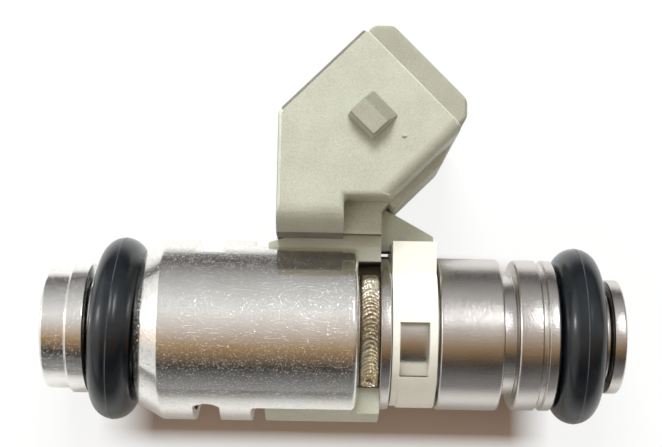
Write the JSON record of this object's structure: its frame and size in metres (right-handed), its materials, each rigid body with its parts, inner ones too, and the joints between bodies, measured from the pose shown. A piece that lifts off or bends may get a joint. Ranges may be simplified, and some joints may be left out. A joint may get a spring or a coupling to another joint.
{
  "type": "fuel injector",
  "caption": "Short port fuel injector with a windowed steel housing, angled overmoulded connector, end seals and an electromagnetic needle valve.",
  "frame": {"origin": "centre of the nozzle face, on the injector axis", "axes": "+X along the injector axis from the nozzle to the fuel inlet, +Y towards the connector, +Z square to the plane of symmetry"},
  "size_m": [0.0468, 0.0316, 0.0188],
  "materials": {
    "plated_steel": "bright nickel-plated steel with fine handling dings",
    "turned_steel": "satin turned stainless steel",
    "connector_plastic": "grey-beige glass-filled plastic, matte with a fine grain",
    "ivory_plastic": "ivory plastic, smooth satin",
    "seal_rubber": "black fluoro rubber, slightly oily sheen",
    "weld_metal": "heat-tinted laser weld with overlapping ripples",
    "bobbin_plastic": "dark amber glass-filled plastic",
    "copper": "enamelled copper wire",
    "terminal_metal": "stamped brass, satin",
    "filter_plastic": "blue-grey plastic cage",
    "filter_mesh": "fine woven filter mesh"
  },
  "bodies": {
    "injector_body": {"valve_body": "plated_steel", "orifice_disc": "turned_steel", "valve_seat": "turned_steel", "guide_sleeve": "turned_steel", "pole_core": "turned_steel", "return_spring": "turned_steel", "spring_adjuster": "turned_steel", "inlet_tube": "turned_steel", "yoke_washer": "turned_steel", "housing_shell": "plated_steel", "bobbin": "bobbin_plastic", "coil_winding": "copper", "coil_leads": "copper", "sleeve_seal": "seal_rubber", "connector_moulding": "connector_plastic", "terminal_a": "terminal_metal", "terminal_b": "terminal_metal", "weld_beads": "weld_metal", "locating_ring": "ivory_plastic", "nozzle_o_ring": "seal_rubber", "inlet_o_ring": "seal_rubber", "filter_collar": "terminal_metal", "filter_frame": "filter_plastic", "filter_mesh": "filter_mesh"},
    "valve_needle": {"valve_ball": "turned_steel", "needle_tube": "turned_steel", "armature": "turned_steel"}
  },
  "joints": [
    {"name": "needle_lift", "type": "slide", "parent": "injector_body", "child": "valve_needle", "axis": [1, 0, 0], "range_m": [0, 0.0001], "stiffness_N_per_m": 500, "springref_m": -0.002, "deforming": ["return_spring"]}
  ]
}
